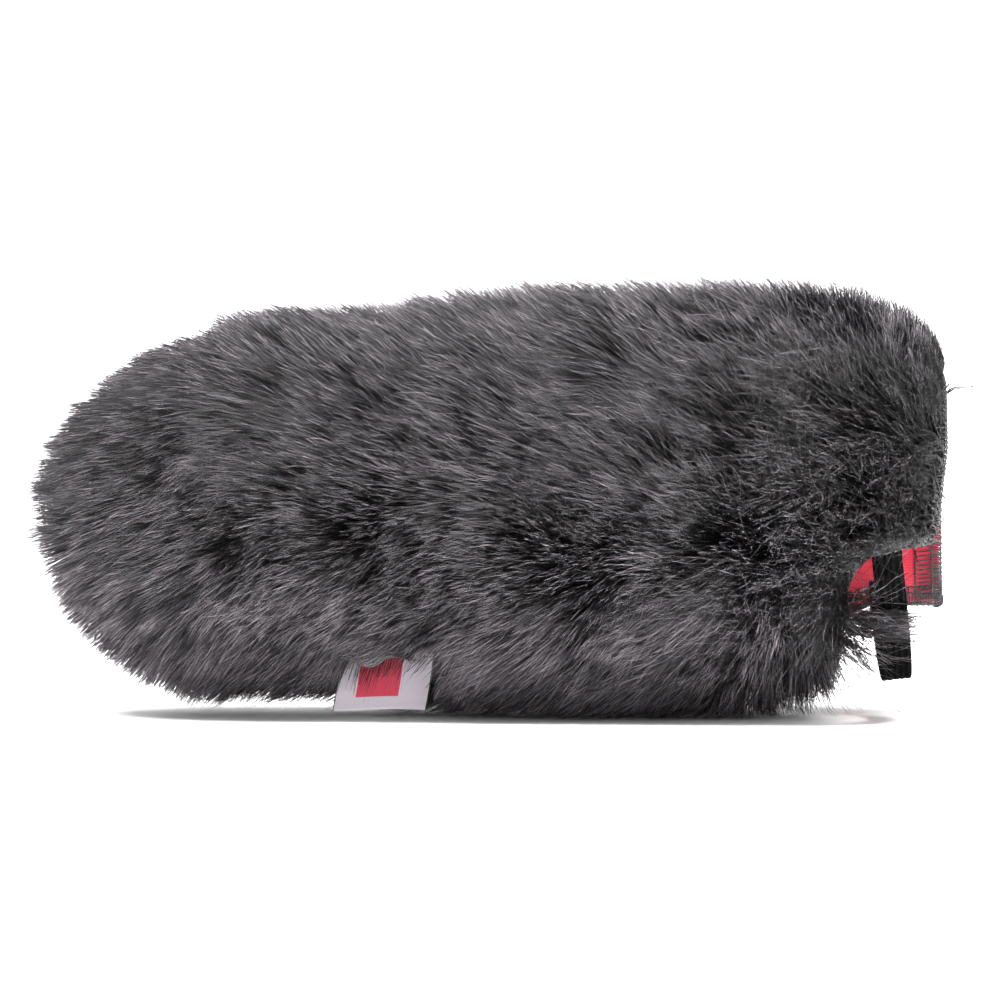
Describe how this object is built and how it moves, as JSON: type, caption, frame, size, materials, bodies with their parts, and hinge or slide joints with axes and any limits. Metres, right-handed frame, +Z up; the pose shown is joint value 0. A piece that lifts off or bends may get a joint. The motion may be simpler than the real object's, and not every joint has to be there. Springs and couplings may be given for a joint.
{
  "type": "furry windscreen",
  "caption": "Slip-on furry windscreen for a shotgun microphone: long-pile panels, knitted lining and foam core, open at the rear with an elastic loop and a sewn label.",
  "frame": {"origin": "middle of the footprint, on the surface that the cover rests on", "axes": "+X along the cover's axis towards the open mouth, -X towards the closed nose, +Z up, -Y the near side that carries the label"},
  "size_m": [0.208, 0.1, 0.098],
  "materials": {
    "pile": "long synthetic pile, charcoal with paler tips",
    "lining": "red knitted lining",
    "thread": "dark grey overlock thread",
    "elastic": "black ribbed elastic",
    "satin": "silver woven satin with a plain red mark",
    "foam": "open-cell foam"
  },
  "bodies": {
    "cover": {"fur_left": "pile", "fur_right": "pile", "lining_left": "lining", "lining_right": "lining", "closing_seam": "thread", "rim_overlock": "thread", "slit_overlock_left": "thread", "slit_overlock_right": "thread", "slit_bartack": "thread", "strap_end_left": "elastic", "strap_end_right": "elastic", "strap_tack_left": "thread", "strap_tack_right": "thread"},
    "strap": {"strap_loop": "elastic"},
    "tag": {"label": "satin"},
    "core": {"foam_core": "foam"}
  },
  "joints": [
    {"name": "strap_swing", "type": "hinge", "parent": "cover", "child": "strap", "pos_m": [0.0905, -0.00565, 0.03031], "axis": [0, -0.9527, 0.304], "range_deg": [-10, 45]},
    {"name": "label_flap", "type": "hinge", "parent": "cover", "child": "tag", "pos_m": [-0.021, 0, 0.01832], "axis": [-1, 0, 0], "range_deg": [-8, 26]},
    {"name": "core_slide", "type": "slide", "parent": "cover", "child": "core", "axis": [1, 0, 0], "range_m": [0, 0.19]}
  ]
}
